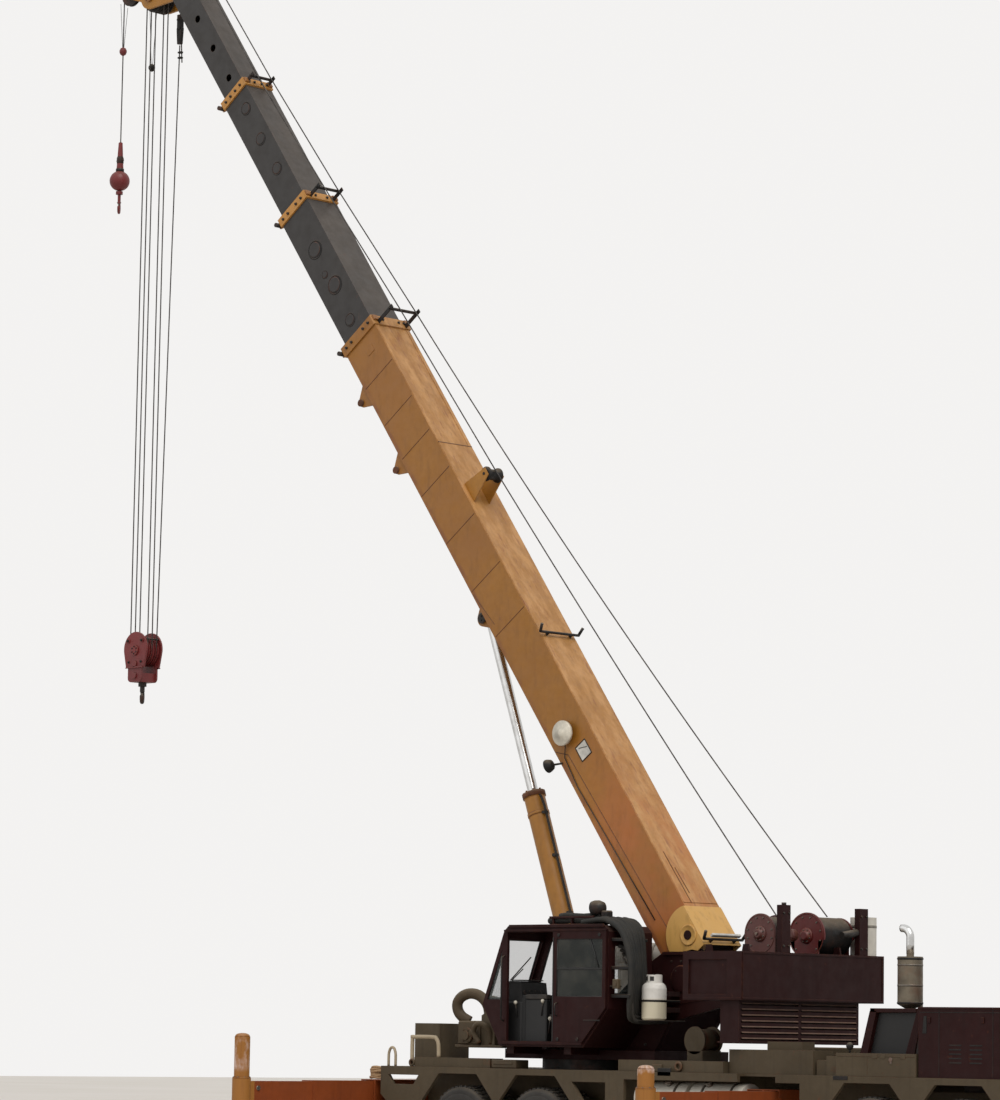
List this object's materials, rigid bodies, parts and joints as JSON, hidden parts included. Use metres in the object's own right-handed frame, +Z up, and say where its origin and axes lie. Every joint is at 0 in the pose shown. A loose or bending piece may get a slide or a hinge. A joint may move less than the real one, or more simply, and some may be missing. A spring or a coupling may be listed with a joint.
{
  "type": "telescopic boom truck crane",
  "caption": "Truck crane on its outriggers with a raised telescopic boom over the rear, hook block, ball hook, operator's cab and winches.",
  "frame": {"origin": "on the ground under the middle of the whole crane's box", "axes": "+X towards the carrier's front, +Y to the carrier's left, +Z up"},
  "size_m": [18.5307, 7.26, 17.3672],
  "materials": {
    "carrier_paint": "weathered gloss",
    "maroon_paint": "weathered gloss",
    "ochre_paint": "weathered gloss",
    "orange_paint": "weathered gloss",
    "charcoal_paint": "satin",
    "red_paint": "weathered gloss",
    "white_paint": "gloss",
    "dark_iron": "dull",
    "bright_rod": "polished",
    "rope_steel": "greasy",
    "tyre_rubber": "matte",
    "hose_rubber": "matte",
    "seat_vinyl": "matte"
  },
  "bodies": {
    "carrier": {"chassis_rails": "carrier_paint", "deck_and_skirts": "carrier_paint", "outrigger_boxes": "orange_paint", "side_tanks": "white_paint", "engine_block": "dark_iron", "engine_hood": "maroon_paint", "exhaust_stack": "carrier_paint", "driver_cab": "maroon_paint", "driver_seat": "seat_vinyl", "front_bumper": "carrier_paint", "deck_boxes": "carrier_paint", "rear_axles": "dark_iron", "front_axles": "dark_iron", "drive_shaft": "dark_iron", "slew_ring": "dark_iron"},
    "driver_door": {"driver_door": "maroon_paint"},
    "superstructure": {"turntable": "maroon_paint", "counterweight": "maroon_paint", "tail_machinery": "maroon_paint", "winches": "red_paint", "operator_cab": "maroon_paint", "operator_seat": "seat_vinyl", "gas_bottle": "white_paint", "air_tanks": "white_paint", "hose_bundle": "hose_rubber"},
    "operator_door": {"operator_door": "maroon_paint"},
    "boom": {"boom_base": "ochre_paint"},
    "section_1": {"boom_section_1": "charcoal_paint"},
    "section_2": {"boom_section_2": "charcoal_paint"},
    "section_3": {"boom_section_3": "charcoal_paint", "boom_head": "ochre_paint", "boom_sheaves": "dark_iron"},
    "lift_rod": {"lift_rod": "bright_rod"},
    "lift_barrel": {"lift_barrel": "ochre_paint"},
    "fall_line": {"main_falls": "rope_steel"},
    "hook_block": {"hook_block": "red_paint"},
    "main_hook": {"main_hook": "dark_iron"},
    "ball_line": {"ball_rope": "rope_steel"},
    "ball": {"ball_and_hook": "red_paint"},
    "knuckle_2_right": {"knuckle_2_right": "dark_iron"},
    "wheel_front_2_right": {"wheel_front_2_right": "tyre_rubber"},
    "knuckle_2_left": {"knuckle_2_left": "dark_iron"},
    "wheel_front_2_left": {"wheel_front_2_left": "tyre_rubber"},
    "knuckle_1_right": {"knuckle_1_right": "dark_iron"},
    "wheel_front_1_right": {"wheel_front_1_right": "tyre_rubber"},
    "knuckle_1_left": {"knuckle_1_left": "dark_iron"},
    "wheel_front_1_left": {"wheel_front_1_left": "tyre_rubber"},
    "wheel_rear_1_right": {"wheel_rear_1_right": "tyre_rubber"},
    "wheel_rear_1_left": {"wheel_rear_1_left": "tyre_rubber"},
    "wheel_rear_2_right": {"wheel_rear_2_right": "tyre_rubber"},
    "wheel_rear_2_left": {"wheel_rear_2_left": "tyre_rubber"},
    "beam_rear_right": {"beam_rear_right": "orange_paint"},
    "jack_rear_right": {"jack_rear_right": "bright_rod"},
    "beam_rear_left": {"beam_rear_left": "orange_paint"},
    "jack_rear_left": {"jack_rear_left": "bright_rod"},
    "beam_front_right": {"beam_front_right": "orange_paint"},
    "jack_front_right": {"jack_front_right": "bright_rod"},
    "beam_front_left": {"beam_front_left": "orange_paint"},
    "jack_front_left": {"jack_front_left": "bright_rod"}
  },
  "joints": [
    {"name": "slew", "type": "hinge", "parent": "carrier", "child": "superstructure", "pos_m": [0.78543, 0, 1.48], "axis": [0, 0, 1], "continuous": true},
    {"name": "luff", "type": "hinge", "parent": "superstructure", "child": "boom", "pos_m": [2.72543, 0, 3.05], "axis": [0, 1, 0], "range_deg": [-54, 24]},
    {"name": "telescope_1", "type": "slide", "parent": "boom", "child": "section_1", "axis": [-0.5871, 0, 0.8095], "range_m": [-2.09, 3.6]},
    {"name": "telescope_2", "type": "slide", "parent": "section_1", "child": "section_2", "axis": [-0.5871, 0, 0.8095], "range_m": [-1.97, 3.4]},
    {"name": "telescope_3", "type": "slide", "parent": "section_2", "child": "section_3", "axis": [-0.5871, 0, 0.8095], "range_m": [-1.76, 3.03]},
    {"name": "lift_rod_hinge", "type": "hinge", "parent": "boom", "child": "lift_rod", "pos_m": [-1.18901, 0, 7.28939], "axis": [0, 1, 0], "range_deg": [-4, 2]},
    {"name": "lift_stroke", "type": "slide", "parent": "lift_rod", "child": "lift_barrel", "axis": [0.3363, 0, -0.9418], "range_m": [-2, 0.9]},
    {"name": "fall_swing", "type": "hinge", "parent": "section_3", "child": "fall_line", "pos_m": [-8.2965, 0, 16.97075], "axis": [0, 1, 0], "range_deg": [-24, 54]},
    {"name": "main_hoist", "type": "slide", "parent": "fall_line", "child": "hook_block", "axis": [0, 0, -1], "range_m": [-8.5, 6.3], "deforming": ["main_falls"]},
    {"name": "hook_swivel", "type": "hinge", "parent": "hook_block", "child": "main_hook", "pos_m": [-8.2965, 0, 6.73], "axis": [0, 0, 1], "continuous": true},
    {"name": "ball_swing", "type": "hinge", "parent": "section_3", "child": "ball_line", "pos_m": [-8.94543, 0, 17.16719], "axis": [0, 1, 0], "range_deg": [-24, 54]},
    {"name": "ball_hoist", "type": "slide", "parent": "ball_line", "child": "ball", "axis": [0, 0, -1], "range_m": [-1.8, 13.7], "deforming": ["ball_rope"]},
    {"name": "driver_door_hinge", "type": "hinge", "parent": "carrier", "child": "driver_door", "pos_m": [8.94243, 1.304, 1.55], "axis": [0, 0, -1], "range_deg": [0, 75]},
    {"name": "operator_door_slide", "type": "slide", "parent": "superstructure", "child": "operator_door", "axis": [-1, 0, 0], "range_m": [0, 0.84]},
    {"name": "steer_2_right", "type": "hinge", "parent": "carrier", "child": "knuckle_2_right", "pos_m": [7.74143, -0.88, 0.56], "axis": [0, 0, 1], "range_deg": [-30, 30]},
    {"name": "spin_front_2_right", "type": "hinge", "parent": "knuckle_2_right", "child": "wheel_front_2_right", "pos_m": [7.74143, -1.1, 0.56], "axis": [0, 1, 0], "continuous": true},
    {"name": "steer_2_left", "type": "hinge", "parent": "carrier", "child": "knuckle_2_left", "pos_m": [7.74143, 0.88, 0.56], "axis": [0, 0, 1], "range_deg": [-30, 30]},
    {"name": "spin_front_2_left", "type": "hinge", "parent": "knuckle_2_left", "child": "wheel_front_2_left", "pos_m": [7.74143, 1.1, 0.56], "axis": [0, 1, 0], "continuous": true},
    {"name": "steer_1_right", "type": "hinge", "parent": "carrier", "child": "knuckle_1_right", "pos_m": [6.39043, -0.88, 0.56], "axis": [0, 0, 1], "range_deg": [-25, 25]},
    {"name": "spin_front_1_right", "type": "hinge", "parent": "knuckle_1_right", "child": "wheel_front_1_right", "pos_m": [6.39043, -1.1, 0.56], "axis": [0, 1, 0], "continuous": true},
    {"name": "steer_1_left", "type": "hinge", "parent": "carrier", "child": "knuckle_1_left", "pos_m": [6.39043, 0.88, 0.56], "axis": [0, 0, 1], "range_deg": [-25, 25]},
    {"name": "spin_front_1_left", "type": "hinge", "parent": "knuckle_1_left", "child": "wheel_front_1_left", "pos_m": [6.39043, 1.1, 0.56], "axis": [0, 1, 0], "continuous": true},
    {"name": "spin_rear_1_right", "type": "hinge", "parent": "carrier", "child": "wheel_rear_1_right", "pos_m": [-0.37857, -1, 0.56], "axis": [0, 1, 0], "continuous": true},
    {"name": "spin_rear_1_left", "type": "hinge", "parent": "carrier", "child": "wheel_rear_1_left", "pos_m": [-0.37857, 1, 0.56], "axis": [0, 1, 0], "continuous": true},
    {"name": "spin_rear_2_right", "type": "hinge", "parent": "carrier", "child": "wheel_rear_2_right", "pos_m": [1.00243, -1, 0.56], "axis": [0, 1, 0], "continuous": true},
    {"name": "spin_rear_2_left", "type": "hinge", "parent": "carrier", "child": "wheel_rear_2_left", "pos_m": [1.00243, 1, 0.56], "axis": [0, 1, 0], "continuous": true},
    {"name": "extend_rear_right", "type": "slide", "parent": "carrier", "child": "beam_rear_right", "axis": [0, -1, 0], "range_m": [-2.1, 0]},
    {"name": "lower_rear_right", "type": "slide", "parent": "beam_rear_right", "child": "jack_rear_right", "axis": [0, 0, -1], "range_m": [-0.4, 0.1]},
    {"name": "extend_rear_left", "type": "slide", "parent": "carrier", "child": "beam_rear_left", "axis": [0, 1, 0], "range_m": [-2.1, 0]},
    {"name": "lower_rear_left", "type": "slide", "parent": "beam_rear_left", "child": "jack_rear_left", "axis": [0, 0, -1], "range_m": [-0.4, 0.1]},
    {"name": "extend_front_right", "type": "slide", "parent": "carrier", "child": "beam_front_right", "axis": [0, -1, 0], "range_m": [-2.1, 0]},
    {"name": "lower_front_right", "type": "slide", "parent": "beam_front_right", "child": "jack_front_right", "axis": [0, 0, -1], "range_m": [-0.4, 0.1]},
    {"name": "extend_front_left", "type": "slide", "parent": "carrier", "child": "beam_front_left", "axis": [0, 1, 0], "range_m": [-2.1, 0]},
    {"name": "lower_front_left", "type": "slide", "parent": "beam_front_left", "child": "jack_front_left", "axis": [0, 0, -1], "range_m": [-0.4, 0.1]}
  ],
  "couplings": [
    {"joint": "telescope_2", "follows": "telescope_1", "ratio": 0.94},
    {"joint": "telescope_3", "follows": "telescope_1", "ratio": 0.84},
    {"joint": "fall_swing", "follows": "luff", "ratio": -1},
    {"joint": "ball_swing", "follows": "luff", "ratio": -1},
    {"joint": "lift_rod_hinge", "follows": "luff", "ratio": 0.07},
    {"joint": "lift_stroke", "follows": "luff", "m_per_rad": 2.1},
    {"joint": "steer_2_left", "follows": "steer_2_right", "ratio": 1},
    {"joint": "steer_1_right", "follows": "steer_2_right", "ratio": 0.82},
    {"joint": "steer_1_left", "follows": "steer_2_right", "ratio": 0.82}
  ]
}
